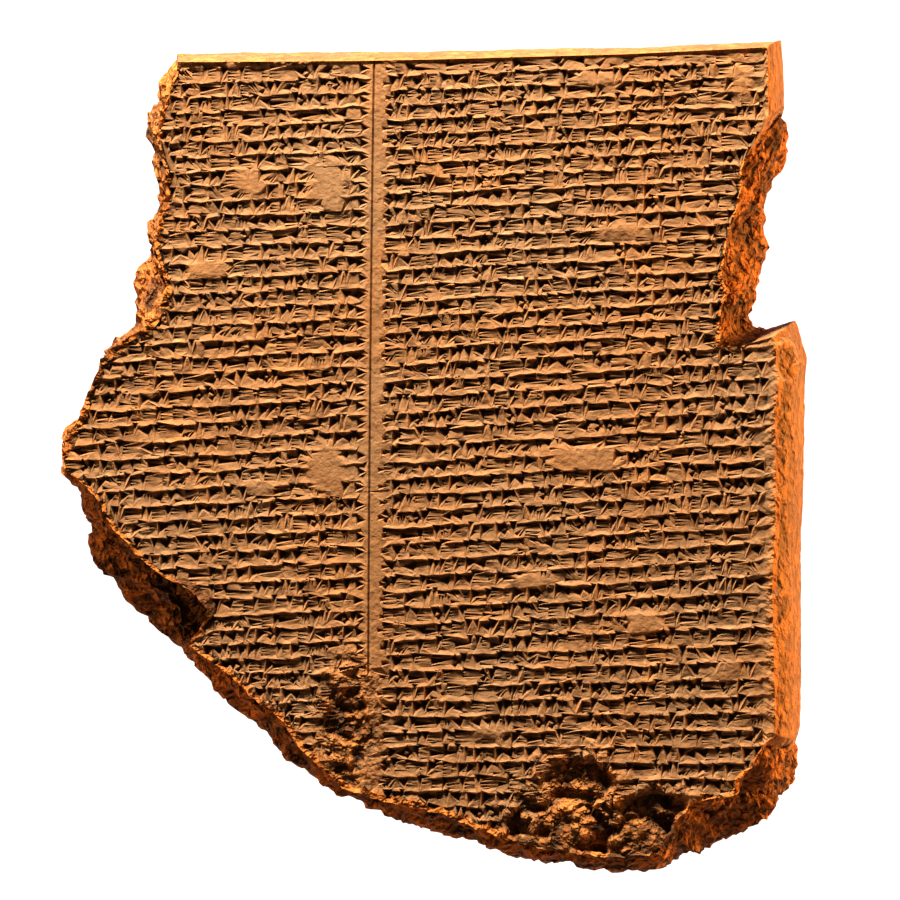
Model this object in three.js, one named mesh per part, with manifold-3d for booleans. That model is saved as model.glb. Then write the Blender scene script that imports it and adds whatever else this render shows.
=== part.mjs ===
// A fragment of a clay tablet, lying on its back with the inscribed face up.
// Millimetres: +Z is the way the face looks, +Y runs to its top edge and +X to its right edge.
import * as THREE from 'three';
import { mergeVertices } from 'three/addons/utils/BufferGeometryUtils.js';
import Module from 'manifold-3d';

// ---- driving dimensions ----
const thickness = 32;
const faceDome = 1.6; // how far the face's rim lies below its middle
const backDome = 4; // how far the back's rim lies above the flat it rests on
const restingShare = 0.45; // share of the back's reach that is flat
const heart = new THREE.Vector2(12, -19); // every side of the outline can be seen from here
const halfWidth = 66;
const halfHeight = 75;
const longestStep = 4.6; // between two stations along the outline
const fractureRoughness = 0.9;
const fractureSeed = 7;
const backInset = 5; // how far the back's rim draws in from the widest level
const widestLevel = 0.6; // share of the thickness where the sides stand out furthest
const sideLevels = [0, 0.12, 0.3, 0.5, 0.7, 0.88, 1];
const overrun = 3; // how far a cutting shape passes the surface that it cuts
const slabCell = 15;
const slabCells = 12;

const rowCount = 50;
const firstRow = 71.3;
const rowPitch = 2.79;
const rowSwing = 1.6; // the rows crowd at the top and spread in the middle
const rowSwingLength = 56; // rows
const rowSlope = 0.045; // the rows climb to the right
const strokeGap = 2.6; // the mean blank clay between two strokes in a row
const strokeVariety = 0.4; // how much the strokes of one kind differ in length
const strokeSeed = 21;
const strokeDepth = 0.7;
const headShare = 0.22; // where along a stroke its deepest point lies
const standingRise = 0.4; // share of its length that a standing stroke starts above its row
const strokeLift = 0.15; // how far a cutter stands above the clay
const lyingStroke = { angle: 0, length: 6.8, width: 1.8 };
const standingStroke = { angle: -Math.PI / 2, length: 2.3, width: 2.3 };
const slantingStroke = { angle: -Math.PI / 4, length: 3.1, width: 2.1 };
const strokeKinds = [lyingStroke, lyingStroke, standingStroke, slantingStroke, lyingStroke];
const marginToEdge = 1.4;
const divider = { top: -11.5, foot: -12.7, halfWidth: 0.5, depth: 0.5, highest: 71, lowest: -60 };
const dividerSteps = 9;
const marginStrip = 3.4; // blank clay to the right of the divider
const endClearance = 1; // blank clay beyond both ends of a stroke

// Each station of the face's outline: x, y, and how far the side below stands out from it.
const topEdge = [[-47, 69.9, 2.4], [-11, 70.8, 1.6], [35, 72.3, 1.2], [58.4, 73.2, 1.7]];
const upperRightEdge = [[58.8, 72.6, 2.6], [58.9, 60.4, 3.2]];
const rightNotch = [
  [56, 54.8, 8], [54.7, 51.5, 10.8], [54.9, 49, 10.8], [54.2, 46, 11], [53.4, 43.2, 9], [52.2, 39.5, 8.5],
  [50.9, 33.5, 9.5], [51.2, 31.8, 8.8], [51.7, 29.5, 7.5], [50.9, 26, 6.5], [50.8, 20.5, 5],
  [55.6, 20.5, 2.8],
];
const lowerRightEdge = [
  [59.9, 21.5, 3.8], [60.3, 14, 5.7], [59.4, 8, 6], [59.8, -13, 4.4], [58.8, -22, 5.3], [59.3, -48, 5.4],
];
const bottomRightBreak = [
  [59, -51.5, 4.8], [57.5, -55, 6.3], [55.7, -57, 7.6], [54.4, -60.5, 6.7], [46.6, -62, 9.8],
  [42.8, -66.5, 6.6],
];
const bottomBreak = [
  [40, -71, 3.8], [34.5, -72, 5], [25.5, -71.5, 4.7], [18, -70, 6], [7, -66.5, 6.8],
  [1.5, -64, 5.9], [-9.5, -62, 5.4], [-17, -60, 4.2],
];
const bottomLeftBreak = [
  [-20.5, -56.5, 4.5], [-24.5, -53.5, 6.2], [-27.5, -48.5, 8.4], [-32.5, -45, 7.3], [-38, -39.5, 6.9],
  [-45, -35, 6.1], [-43, -31, 13.4], [-42.5, -28.5, 15.8], [-46.5, -25, 14.4], [-53, -20, 14.3],
  [-59.5, -13.5, 7.7], [-62.5, -8, 6],
];
const leftBreak = [
  [-65.5, -5.3, 5.5], [-68.4, -3.7, 2.7], [-69.1, -0.7, 2.1], [-68.6, 2, 1.5], [-66.7, 4.5, 1],
  [-64.4, 9.3, 1.9], [-61.3, 16.6, 1.9], [-58.2, 19.2, 2], [-54.8, 21.3, 3.9], [-52.4, 22.8, 7.5],
  [-49.7, 26.2, 9.3], [-48.7, 29.5, 8.5], [-51.2, 37, 4.5], [-50.6, 43, 3], [-49.5, 45.1, 4.8],
  [-49.1, 46.1, 8.2], [-49.1, 50.1, 10.4], [-50, 53.5, 9], [-51.2, 56.5, 6.5], [-51.2, 59.8, 4.1],
  [-49.6, 65.2, 3.6], [-47.8, 69.4, 2.3],
];
const stretches = [
  { stations: topEdge, broken: false },
  { stations: upperRightEdge, broken: false },
  { stations: rightNotch, broken: true },
  { stations: lowerRightEdge, broken: false },
  { stations: bottomRightBreak, broken: true },
  { stations: bottomBreak, broken: true },
  { stations: bottomLeftBreak, broken: true },
  { stations: leftBreak, broken: true },
];

// Hollows where the face has broken away: middle, reach along x and y, and depth.
const hollowLumpiness = 0.25;
const hollowSeed = 31;
const hollows = [
  { x: 27, y: -61, reachX: 9, reachY: 8, depth: 4 },
  { x: 35, y: -70, reachX: 8, reachY: 6, depth: 5 },
  { x: -17, y: -50, reachX: 5, reachY: 9, depth: 1.4 },
];

const wasm = await Module();
wasm.setup();

// ---- chance that is the same every time ----
function seededChance(seed) {
  let state = seed >>> 0;
  return () => {
    state = (state + 0x6d2b79f5) >>> 0;
    let mixed = Math.imul(state ^ (state >>> 15), 1 | state);
    mixed = (mixed + Math.imul(mixed ^ (mixed >>> 7), 61 | mixed)) ^ mixed;
    return ((mixed ^ (mixed >>> 14)) >>> 0) / 2 ** 32;
  };
}

// ---- solids from triangles ----
function geometryFrom(points, triangles) {
  const geometry = new THREE.BufferGeometry();
  geometry.setAttribute('position', new THREE.Float32BufferAttribute(points.flat(), 3));
  geometry.setIndex(triangles.flat());
  return geometry;
}

function solidFrom(geometry) {
  const bare = new THREE.BufferGeometry();
  bare.setAttribute('position', geometry.getAttribute('position'));
  bare.setIndex(geometry.getIndex());
  const merged = mergeVertices(bare, 1e-4);
  return new wasm.Manifold(new wasm.Mesh({
    numProp: 3,
    vertProperties: new Float32Array(merged.getAttribute('position').array),
    triVerts: new Uint32Array(merged.getIndex().array),
  }));
}

// ---- the face and the back ----
function reachShare(x, y) {
  return (x / halfWidth) ** 2 + (y / halfHeight) ** 2;
}

function faceHeight(x, y) {
  return thickness - faceDome * reachShare(x, y);
}

function backHeight(x, y) {
  return backDome * Math.max(0, reachShare(x, y) - restingShare);
}

// A slab wider than the tablet, with the face's curve above and the back's below.
function slab() {
  const cells = slabCells;
  const across = cells + 1;
  const points = [];
  for (const height of [faceHeight, backHeight]) {
    for (let row = 0; row <= cells; row++) {
      for (let column = 0; column <= cells; column++) {
        const x = (column - cells / 2) * slabCell;
        const y = (row - cells / 2) * slabCell;
        points.push([x, y, height(x, y)]);
      }
    }
  }
  const under = across * across;
  const triangles = [];
  for (let row = 0; row < cells; row++) {
    for (let column = 0; column < cells; column++) {
      const a = row * across + column;
      const b = a + 1;
      const c = a + across;
      const d = c + 1;
      triangles.push([a, b, d], [a, d, c]);
      triangles.push([under + a, under + d, under + b], [under + a, under + c, under + d]);
    }
  }
  for (let step = 0; step < cells; step++) {
    const sides = [
      [step, step + 1],
      [step * across + cells, (step + 1) * across + cells],
      [cells * across + step + 1, cells * across + step],
      [(step + 1) * across, step * across],
    ];
    for (const [from, to] of sides) {
      triangles.push([from, under + from, to], [to, under + from, under + to]);
    }
  }
  return geometryFrom(points, triangles);
}

// ---- the outline and the sides ----
function outlineStations() {
  const corners = stretches.flatMap(({ stations, broken }) =>
    stations.map(([x, y, spread]) => ({ x, y, spread, rough: broken ? 1 : 0 })));
  const stations = [];
  corners.forEach((corner, index) => {
    const next = corners[(index + 1) % corners.length];
    const length = Math.hypot(next.x - corner.x, next.y - corner.y);
    if (length === 0) {
      return;
    }
    const steps = Math.ceil(length / longestStep);
    for (let step = 0; step < steps; step++) {
      const share = step / steps;
      stations.push({
        x: THREE.MathUtils.lerp(corner.x, next.x, share),
        y: THREE.MathUtils.lerp(corner.y, next.y, share),
        spread: THREE.MathUtils.lerp(corner.spread, next.spread, share),
        rough: step === 0 ? corner.rough : Math.min(corner.rough, next.rough),
      });
    }
  });
  return stations;
}

function sideOutset(spread, level) {
  const swell = Math.sin(Math.min(1, level / widestLevel) * Math.PI / 2);
  const tuck = Math.max(0, (level - widestLevel) / (1 - widestLevel)) ** 2;
  return spread * swell - backInset * tuck;
}

// The sides as rings of stations, each pushed out from the heart, from above the face to below the back.
function sides(stations) {
  const chance = seededChance(fractureSeed);
  const rings = [{ z: thickness + overrun, level: 0 }];
  for (const level of sideLevels) {
    rings.push({ z: thickness * (1 - level), level });
  }
  rings.push({ z: -overrun, level: 1 });
  const points = [];
  for (const { z, level } of rings) {
    const roughness = level > 0 ? fractureRoughness : 0;
    for (const station of stations) {
      const shift = sideOutset(station.spread, level) + station.rough * roughness * (2 * chance() - 1);
      const reach = Math.hypot(station.x - heart.x, station.y - heart.y);
      const scale = (reach + shift) / reach;
      points.push([
        heart.x + (station.x - heart.x) * scale,
        heart.y + (station.y - heart.y) * scale,
        z,
      ]);
    }
  }
  const count = stations.length;
  const triangles = [];
  for (let ring = 0; ring + 1 < rings.length; ring++) {
    for (let index = 0; index < count; index++) {
      const next = (index + 1) % count;
      const upper = ring * count;
      const lower = upper + count;
      triangles.push([upper + index, upper + next, lower + index]);
      triangles.push([upper + next, lower + next, lower + index]);
    }
  }
  const top = points.push([heart.x, heart.y, thickness + overrun]) - 1;
  const foot = points.push([heart.x, heart.y, -overrun]) - 1;
  const last = (rings.length - 1) * count;
  for (let index = 0; index < count; index++) {
    const next = (index + 1) % count;
    triangles.push([top, next, index]);
    triangles.push([foot, last + index, last + next]);
  }
  return geometryFrom(points, triangles);
}

// ---- hollows ----
function hollowCutter({ x, y, reachX, reachY, depth }, seed) {
  const chance = seededChance(seed);
  const ball = new THREE.IcosahedronGeometry(1, 1);
  const lump = mergeVertices(ball.deleteAttribute('normal').deleteAttribute('uv'));
  const position = lump.getAttribute('position');
  for (let index = 0; index < position.count; index++) {
    const swell = 1 + hollowLumpiness * (chance() - 0.5);
    position.setXYZ(
      index,
      position.getX(index) * reachX * swell,
      position.getY(index) * reachY * swell,
      position.getZ(index) * 2 * depth * swell,
    );
  }
  lump.translate(x, y, faceHeight(x, y) + depth);
  return lump;
}

function inHollow(x, y) {
  return hollows.some((hollow) =>
    ((x - hollow.x) / hollow.reachX) ** 2 + ((y - hollow.y) / hollow.reachY) ** 2 < 1);
}

// ---- the divider between the columns ----
function dividerX(y) {
  const share = (divider.highest - y) / (divider.highest - divider.lowest);
  return THREE.MathUtils.lerp(divider.top, divider.foot, share);
}

function dividerCutter() {
  const points = [];
  for (let step = 0; step <= dividerSteps; step++) {
    const y = THREE.MathUtils.lerp(divider.highest + overrun, divider.lowest, step / dividerSteps);
    const x = dividerX(y);
    const z = faceHeight(x, y);
    const flare = 1 + strokeLift / divider.depth;
    points.push([x - divider.halfWidth * flare, y, z + strokeLift]);
    points.push([x + divider.halfWidth * flare, y, z + strokeLift]);
    points.push([x, y, z - divider.depth]);
  }
  const triangles = [];
  for (let step = 0; step < dividerSteps; step++) {
    const here = 3 * step;
    for (const [from, to] of [[0, 1], [1, 2], [2, 0]]) {
      triangles.push([here + from, here + to, here + 3 + to], [here + from, here + 3 + to, here + 3 + from]);
    }
  }
  const last = 3 * dividerSteps;
  triangles.push([0, 2, 1], [last, last + 1, last + 2]);
  return geometryFrom(points, triangles.map(([a, b, c]) => [a, c, b]));
}

// ---- the inscription: rows of shallow wedge strokes that spell nothing ----
function crossing(origin, direction, from, to) {
  const alongX = to.x - from.x;
  const alongY = to.y - from.y;
  const turn = direction.x * alongY - direction.y * alongX;
  const share = (direction.y * (from.x - origin.x) - direction.x * (from.y - origin.y)) / turn;
  const distance = ((from.x - origin.x) * alongY - (from.y - origin.y) * alongX) / turn;
  return share >= 0 && share <= 1 && distance > 0 ? distance : Infinity;
}

function insideFace(stations, x, y, margin) {
  const distance = Math.hypot(x - heart.x, y - heart.y);
  const direction = { x: (x - heart.x) / distance, y: (y - heart.y) / distance };
  let edge = Infinity;
  stations.forEach((station, index) => {
    edge = Math.min(edge, crossing(heart, direction, station, stations[(index + 1) % stations.length]));
  });
  return distance + margin < edge;
}

function strokeCutter({ x, y, angle, length, width }) {
  const along = [Math.cos(angle), Math.sin(angle)];
  const beside = [-along[1], along[0]];
  const surface = (forward, sideways) => {
    const px = x + forward * along[0] + sideways * beside[0];
    const py = y + forward * along[1] + sideways * beside[1];
    return [px, py, faceHeight(px, py)];
  };
  const deepest = surface(length * headShare, 0);
  deepest[2] -= strokeDepth;
  const flare = 1 + strokeLift / strokeDepth;
  const rim = [surface(0, width / 2), surface(0, -width / 2), surface(length, 0)].map((corner) =>
    corner.map((value, axis) => deepest[axis] + (value - deepest[axis]) * flare));
  return geometryFrom([...rim, deepest], [[0, 1, 2], [1, 0, 3], [2, 1, 3], [0, 2, 3]]);
}

function strokesInRow(row, stations, chance) {
  const swing = rowSwing * Math.sin(2 * Math.PI * row / rowSwingLength);
  const strokes = [];
  let x = -halfWidth + lyingStroke.length * chance();
  while (x < halfWidth) {
    const kind = strokeKinds[Math.floor(chance() * strokeKinds.length)];
    const length = kind.length * (1 + strokeVariety * (chance() - 0.5));
    const rise = -kind.length * Math.sin(kind.angle) * standingRise;
    const y = firstRow - row * rowPitch + swing + rowSlope * x + rise;
    const tipX = x + length * Math.cos(kind.angle);
    const clearOfDivider = tipX < dividerX(y) - endClearance || x > dividerX(y) + marginStrip;
    const headOnFace = insideFace(stations, x - endClearance, y, marginToEdge);
    const tipOnFace = insideFace(stations, tipX, y - endClearance, marginToEdge);
    if (clearOfDivider && headOnFace && tipOnFace && !inHollow(x, y) && !inHollow(tipX, y)) {
      strokes.push({ ...kind, x, y, length });
    }
    x += Math.max(tipX - x, kind.width) + strokeGap * (0.5 + chance());
  }
  return strokes;
}

function joined(solids) {
  if (solids.length === 1) {
    return solids[0];
  }
  const half = Math.ceil(solids.length / 2);
  return joined(solids.slice(0, half)).add(joined(solids.slice(half)));
}

function inscription(stations) {
  const chance = seededChance(strokeSeed);
  const cutters = [];
  for (let row = 0; row < rowCount; row++) {
    const strokes = strokesInRow(row, stations, chance);
    cutters.push(...strokes.map((stroke) => solidFrom(strokeCutter(stroke))));
  }
  return joined(cutters);
}

// ---- the tablet ----
function tabletGeometry() {
  const stations = outlineStations();
  let solid = solidFrom(sides(stations)).intersect(solidFrom(slab()));
  hollows.forEach((hollow, index) => {
    solid = solid.subtract(solidFrom(hollowCutter(hollow, hollowSeed + index)));
  });
  solid = solid.subtract(solidFrom(dividerCutter())).subtract(inscription(stations));
  const mesh = solid.getMesh();
  const geometry = new THREE.BufferGeometry();
  geometry.setAttribute('position', new THREE.BufferAttribute(mesh.vertProperties, mesh.numProp));
  geometry.setIndex(new THREE.BufferAttribute(mesh.triVerts, 1));
  geometry.computeBoundingBox();
  const middle = geometry.boundingBox.getCenter(new THREE.Vector3());
  geometry.translate(-middle.x, -middle.y, 0);
  return geometry;
}

const firedClay = new THREE.MeshStandardMaterial({ color: 0x9a663f, roughness: 0.9, metalness: 0 });
const tablet = new THREE.Mesh(tabletGeometry(), firedClay);
tablet.name = 'tablet';

const part = new THREE.Group();
part.add(tablet);

export default part;
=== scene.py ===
import math
import random
from itertools import groupby

import bpy
import numpy as np
from mathutils import Matrix, Vector, noise
from mathutils.geometry import delaunay_2d_cdt


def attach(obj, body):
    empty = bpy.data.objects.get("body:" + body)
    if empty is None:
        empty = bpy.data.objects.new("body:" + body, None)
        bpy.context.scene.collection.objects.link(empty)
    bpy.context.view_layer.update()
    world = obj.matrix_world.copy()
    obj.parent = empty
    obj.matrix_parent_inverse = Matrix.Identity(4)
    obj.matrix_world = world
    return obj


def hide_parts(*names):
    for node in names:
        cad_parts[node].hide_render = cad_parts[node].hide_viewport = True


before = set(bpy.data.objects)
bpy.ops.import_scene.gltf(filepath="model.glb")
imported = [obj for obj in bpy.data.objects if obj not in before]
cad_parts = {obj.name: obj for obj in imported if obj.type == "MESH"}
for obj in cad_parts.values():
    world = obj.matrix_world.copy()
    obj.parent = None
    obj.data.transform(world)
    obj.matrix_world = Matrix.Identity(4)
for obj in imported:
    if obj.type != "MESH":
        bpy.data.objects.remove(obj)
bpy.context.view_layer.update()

# ---- driving dimensions, in millimetres: +Z is the way the face looks, +Y runs to its top edge ----
MM = 0.001
THICKNESS = 32
FACE_DOME = 1.6  # how far the face's rim lies below its middle
BACK_DOME = 4  # how far the back's rim lies above the flat it rests on
RESTING_SHARE = 0.45  # share of the back's reach that is flat
HEART = np.array([12.0, -19.0])  # every side of the outline can be seen from here
HALF_WIDTH = 66
HALF_HEIGHT = 75
BACK_INSET = 5  # how far the back's rim draws in from the widest level
WIDEST_LEVEL = 0.6  # levels run from 0 at the face to 1 at the foot
ROUNDNESS = 6  # how soon below the face an unbroken side stands out

OUTLINE_STEP = 0.75
ALL_TRIANGLES = 0  # delaunay_2d_cdt's name for filling with triangles, outside the outline too
MERGED_WITHIN = 1e-4  # points closer than this become one
SIDE_RINGS = 33
RING_CROWDING = 1.6  # how much closer together the rings are near the face
FIRST_RIM_HEIGHT = 2.0
RIM_ROUNDS = 12
# The grid of the back's points: its spans along x and y and its step.
BACK_SPAN_X = (-HALF_WIDTH, HALF_WIDTH + 8)
BACK_SPAN_Y = (-HALF_HEIGHT, HALF_HEIGHT + 2)
BACK_STEP = 2.2
BACK_STRAY = 0.5  # how far the points stray
BACK_MARGIN = 0.8  # how far inside the back's rim they stay

# Each station of the face's outline: x, y, and how far the side below stands out from it.
TOP_EDGE = [(-47, 69.9, 2.4), (-11, 70.8, 1.6), (35, 72.3, 1.2), (58.4, 73.2, 1.7)]
UPPER_RIGHT_EDGE = [(58.8, 72.6, 2.6), (58.9, 60.4, 3.2)]
RIGHT_NOTCH = [
    (56, 54.8, 8), (54.7, 51.5, 10.8), (54.9, 49, 10.8), (54.2, 46, 11), (53.4, 43.2, 9), (52.2, 39.5, 8.5),
    (50.9, 33.5, 9.5), (51.2, 31.8, 8.8), (51.7, 29.5, 7.5), (50.9, 26, 6.5), (50.8, 20.5, 5),
    (55.6, 20.5, 2.8),
]
LOWER_RIGHT_EDGE = [
    (59.9, 21.5, 3.8), (60.3, 14, 5.7), (59.4, 8, 6), (59.8, -13, 4.4), (58.8, -22, 5.3), (59.3, -48, 5.4),
]
BOTTOM_RIGHT_BREAK = [
    (59, -51.5, 4.8), (57.5, -55, 6.3), (55.7, -57, 7.6), (54.4, -60.5, 6.7), (46.6, -62, 9.8),
    (42.8, -66.5, 6.6),
]
BOTTOM_BREAK = [
    (40, -71, 3.8), (34.5, -72, 5), (25.5, -71.5, 4.7), (18, -70, 6), (7, -66.5, 6.8),
    (1.5, -64, 5.9), (-9.5, -62, 5.4), (-17, -60, 4.2),
]
BOTTOM_LEFT_BREAK = [
    (-20.5, -56.5, 4.5), (-24.5, -53.5, 6.2), (-27.5, -48.5, 8.4), (-32.5, -45, 7.3), (-38, -39.5, 6.9),
    (-45, -35, 6.1), (-43, -31, 13.4), (-42.5, -28.5, 15.8), (-46.5, -25, 14.4), (-53, -20, 14.3),
    (-59.5, -13.5, 7.7), (-62.5, -8, 6),
]
LEFT_BREAK = [
    (-65.5, -5.3, 5.5), (-68.4, -3.7, 2.7), (-69.1, -0.7, 2.1), (-68.6, 2, 1.5), (-66.7, 4.5, 1),
    (-64.4, 9.3, 1.9), (-61.3, 16.6, 1.9), (-58.2, 19.2, 2), (-54.8, 21.3, 3.9), (-52.4, 22.8, 7.5),
    (-49.7, 26.2, 9.3), (-48.7, 29.5, 8.5), (-51.2, 37, 4.5), (-50.6, 43, 3), (-49.5, 45.1, 4.8),
    (-49.1, 46.1, 8.2), (-49.1, 50.1, 10.4), (-50, 53.5, 9), (-51.2, 56.5, 6.5), (-51.2, 59.8, 4.1),
    (-49.6, 65.2, 3.6), (-47.8, 69.4, 2.3),
]
# Each stretch of the outline: its stations, how broken its side is, and how much that side falls in steps.
STRETCHES = [
    (TOP_EDGE, 0, 0), (UPPER_RIGHT_EDGE, 0, 0), (RIGHT_NOTCH, 1, 0.9), (LOWER_RIGHT_EDGE, 0, 0),
    (BOTTOM_RIGHT_BREAK, 1, 0.9), (BOTTOM_BREAK, 1, 0.8), (BOTTOM_LEFT_BREAK, 1, 1), (LEFT_BREAK, 1, 0.8),
]

# A stepped side stands out in a lip under the face, goes in, and then stands out again in two ledges.
LIP = 0.9
LIP_LEVEL = 0.04
UNDERCUT = 1.6
UNDERCUT_RISE = 0.05
UNDERCUT_FALL = 0.1
# Each ledge: its level, how far that strays, the size and seed of the noise that moves it, and its height.
LEDGES = [(0.13, 0.1, 9, 51, 0.12), (0.3, 0.16, 12, 52, 0.14)]
# Hollows in the sides: middle x, y and z, reach, depth.
CAVITIES = [(-46, -27, 25, 8, 2.2), (-57, -17, 21, 5, 1.4), (63.5, 17.5, 28, 3.4, 1.2), (57, 40, 22, 5, 1.2)]
RELIEF_STARTS = 0.03  # share of the way down a side over which its roughness sets in
RELIEF_ENDS = 0.06  # and over which it dies out above the back
CRUMBLE = 0.25  # how far the points of a broken side stray
GRAIN = 0.07  # and those of an unbroken one

# Scars where the face has broken away: middle x and y, reach along x and y, depth.
SCARS = [
    (25.5, -58.5, 6, 5, 0.9), (24, -68.5, 10.5, 7, 2.6), (36.5, -72, 9, 6.5, 3), (40, -65, 7.5, 4.5, 1.2),
    (-16.5, -50, 4.2, 10.5, 0.7),
]
# Rounded lumps left standing in the scars: middle x and y, reach along x and y, height.
MOUNDS = [(22.5, -67.5, 8.5, 6.5, 2.6), (36.5, -70.5, 6.5, 6, 2.8), (-18, -54, 2.5, 3, 0.5)]
MOUND_CALM = 0.5  # share of the roughness that a lump is spared
SHALLOWEST_SCAR = 0.1
SCAR_REACH = 1.6  # how many times its own reach a scar's points cover
SCAR_STEP = 0.55  # between two points of a scar
SCAR_STRAY = 0.15
SCAR_MARGIN = 0.5  # how far inside the outline those points stay
FAINTEST_SCAR = 0.02  # they stop where the share of lost face is less than this
FRAY = 0.6  # share of the writing's depth that is lost close to a scar
STAIN = 0.75  # how far the clay there looks like broken clay
STAIN_FULLNESS = 0.9
# Rims of spots, and the widths over which they fade, both as squares of distances in the spot's own reach.
SCAR_RIM = 1.25
SCAR_FADE = 0.7
SCAR_LIMIT = 2.2  # a scar's ragged edge goes no further
DEPTH_RIM = 2
DEPTH_FADE = 1.4
FRAY_RIM = 3.2
FRAY_FADE = 2
MOUND_RIM = 1.2
CAVITY_RIM = 1.2
BLANK_RIM = 1.6
BLANK_LIMIT = 3  # nor does a rubbed spot's
# Cracks in the face: width, then the places that each passes through.
CRACKS = [
    (0.8, [(-18, -39), (-14.5, -38.2), (-9.8, -39.6)]),
    (0.3, [(-35.4, -33.7), (-30, -38.2), (-24.3, -42.8)]),
    (0.3, [(52, 20), (51.6, 10), (50.3, 6.5)]),
    (0.3, [(13.2, -35.5), (13.8, -43), (13, -51)]),
    (0.35, [(-12.5, -6.4), (-9, -6.6)]),
]
CRACK_OVERLAP = 1.5  # length of each piece of a crack, as a multiple of the way it covers
# Spots where the strokes are rubbed away: middle x and y, half length, half height.
BLANKS = [
    (-34, 49, 3, 2.3), (-20, 49, 4, 4.6), (-42, 33.5, 3.6, 1.6), (-20, -2.5, 4, 4.2), (-32.5, -6, 2.8, 1.4),
    (-18, -39, 2, 2), (28.5, 68.5, 4, 1.4), (55, 68, 1.8, 3.4), (33, 41, 4.2, 1.5), (26.5, 0.5, 6.8, 2.2),
    (17.5, -22, 4, 1.4), (38, -29.5, 3.2, 1.6), (53, -38, 2.8, 1.8), (10, -50, 2.8, 1.2),
]

# ---- the rows of strokes ----
ROW_COUNT = 51
SPARE_ROWS = 2  # rows looked at beyond both ends, to place every point
FIRST_ROW = 71.6
ROW_PITCH = 2.79
ROW_SWING = 1.6  # the rows crowd at the top and spread in the middle
ROW_SWING_LENGTH = 56
SLOPE_LEVELS = [-62, -42, -28, 5, 72]  # the rows climb to the right by these slopes at these levels
ROW_SLOPES = [0, 0.035, 0.058, 0.063, 0.042]
# The waves in a row: height, turn for each millimetre along it, and turn for each row down.
ROW_WAVES = [(0.15, 0.31, 1.9), (0.11, 0.83, 2.7), (0.1, 1.9, 4.1)]
DIVIDER_TOP = np.array([-11.5, 71])
DIVIDER_FOOT = np.array([-12.5, -39.5])
DIVIDER_HALF_WIDTH = 0.3
DIVIDER_DEPTH = 0.45
DIVIDER_STEPS = 40
STRIP_WIDTH = 2.3  # blank clay to the right of the divider
STRIP_MARGIN = 0.8  # and to its left
STRIP_FADE = 0.5  # the rows' relief rises over this width beside the strip
COLUMN_LIMIT = 0.5  # the rows' lines stop where the relief has risen less than this
LEFT_OVERRUN = 3  # how far past the face's half width the rows start
RIGHT_MARGIN = 4.5
ROW_RELIEF = 0.34  # each row starts this deep under the foot of the row above
CLIFF_SHARE = 0.12  # share of the row's height that the step down takes
BEND_SHARE = 0.76  # past this share of its height a row climbs more steeply
GENTLE_CLIMB = 0.25  # share of the climb before the bend
FULLNESS = 0.8  # the relief's mean height, as a share of ROW_RELIEF
LINE_STEP = 1.6  # between two points of a row's line
LINE_OVERRUN = 4
FACETS = 0.06  # how far the points of the written clay stray up and down
CREASED_WIDTH = 1  # strokes wider than this keep sharp creases where others cross them
STROKE_REACH = 8  # along x, from a stroke's deepest point to all that it cuts
LOST_LIMIT = 0.5  # strokes and rows stop where the share of lost face passes this
RUBBED_LIMIT = 0.85  # and strokes where the share of rubbed clay does
STROKE_MARGIN = 0.2  # how far inside the outline the deepest points of strokes stay
LINE_MARGIN = 0.4  # and the points of the rows' lines

# ---- layers of noise: each one's strength and size in millimetres, and its seed ----
EDGE_JAGS = [(0.5, 2.2, 3), (0.3, 0.9, 8)]
FACE_SWELLS = [(0.12, 6, 21), (0.05, 1.5, 22)]
FRAYED_SWELLS = [(0.6, 2.4, 24)]
STAIN_SPOTS = [(1.2, 5, 25)]
ROW_SWELLS = [(0.5, 3.5, 31)]
ROW_DIPS = [(0.3, 1.9, 32)]
RUBBED_RAGS = [(0.9, 2.2, 33)]
SCAR_RAGS = [(0.8, 4, 41), (0.35, 1.4, 42)]
SCAR_SWELLS = [(0.5, 4.5, 43), (0.25, 1.1, 46)]
SCAR_LUMPS = [(-0.35, 3, 44), (-0.4, 1.5, 45)]
BROKEN_SWELLS = [(1.3, 9, 11)]
BROKEN_BEDS = [(0.6, 10, 17)]
BED_FLATNESS = 3  # how much flatter than long the beds of a broken side are
BROKEN_LUMPS = [(1.7, 6, 12), (1.2, 2.8, 13), (0.6, 1.6, 14)]
WHOLE_SWELLS = [(0.25, 7, 15), (0.12, 1.4, 16)]

# ---- seeds of everything else that is left to chance ----
BACK_SEED = 4
STROKE_SEED = 5
FACET_SEED = 6
STRAY_SEED = 8
SCAR_SEED = 9
LINE_SEED = 12

# ---- marks on the mesh that the material reads ----
SIDE_WEAR = 0.55  # how far the whole sides look like broken clay
BACK_WEAR = 0.12
EDGE_WEAR_AND_RIM_MARK = 0.8  # how strongly a broken side is marked along the face's edge, in red that is partly wear and partly painted rim light
EDGE_RINGS = 3  # rings of the side that are marked as the edge is
BROKEN_LIMIT = 0.5  # edge and crest marks stay where the clay looks more broken than this
SCAR_SHADE = 0.3  # painted shade: pit mark for each millimetre of a scar past the first, which darkens the scar's colour
DEEPEST_SHADE = 2
RELIEF_SHADE_AND_HIGHLIGHT = 0.5  # painted shade in creases and painted highlight on crests: mark for each millimetre of a broken side's roughness
STRONGEST_MARK = 0.6


# ---- noise ----
def clay_noise(x, y, z, size, seed):
    """Smooth noise from -1 to 1 at every point, with lumps about size millimetres across."""
    return np.array([
        noise.noise(Vector((a / size + seed, b / size, c / size)))
        for a, b, c in zip(x, y, z)
    ])


def lumps(x, y, z, size, seed):
    """Rounded lumps about size millimetres across, parted by creases: about 0.5 on top, -0.5 in a crease."""
    return np.array([
        0.5 - noise.voronoi(Vector((a / size + seed, b / size, c / size)))[0][0]
        for a, b, c in zip(x, y, z)
    ])


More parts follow.
